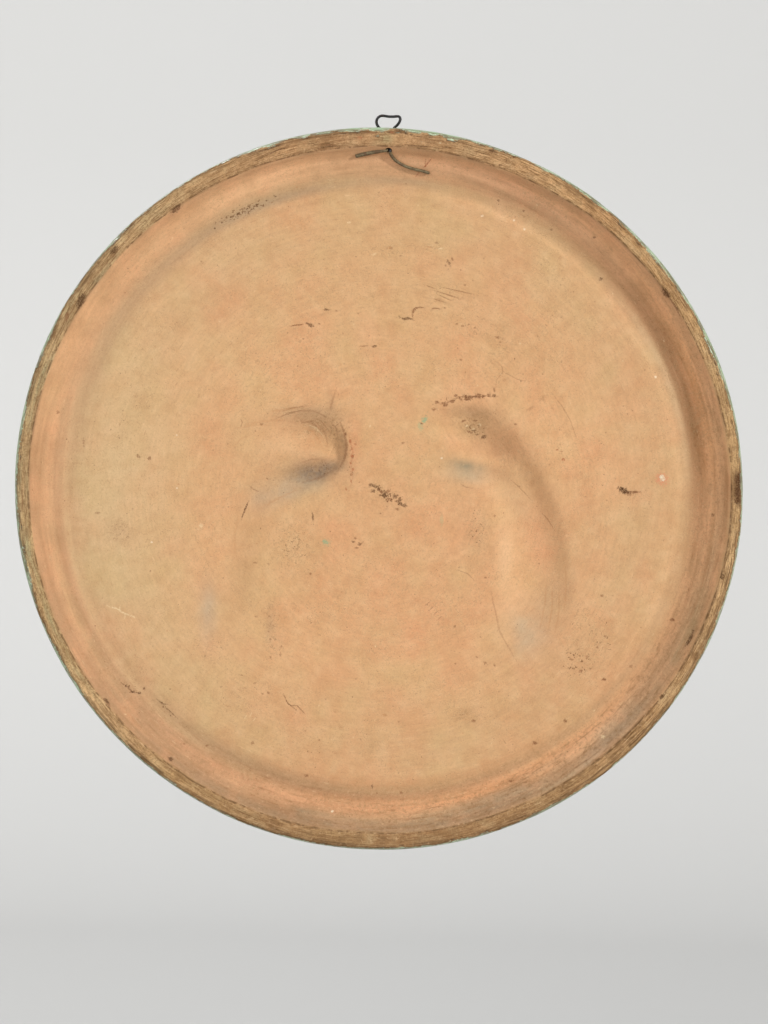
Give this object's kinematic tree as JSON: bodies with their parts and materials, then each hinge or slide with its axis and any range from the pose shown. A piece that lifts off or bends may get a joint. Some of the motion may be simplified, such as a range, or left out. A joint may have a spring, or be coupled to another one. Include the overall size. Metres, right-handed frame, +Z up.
{
  "type": "decorative wall plaque",
  "caption": "Round terracotta wall plaque with a foot ring and recessed bare clay back, a pale green glazed relief front and a bent iron wire loop at the top to hang it by.",
  "frame": {"origin": "inside the top of the wire loop, where a nail or hook bears", "axes": "+Z up as it hangs, +Y out of the back towards the wall, so the relief front faces -Y"},
  "size_m": [0.422, 0.0379, 0.427],
  "materials": {
    "terracotta": "matte",
    "glaze": "gloss",
    "wire": "matte"
  },
  "bodies": {
    "root": {"plaque": "terracotta", "hanging_wire": "wire"}
  },
  "joints": []
}
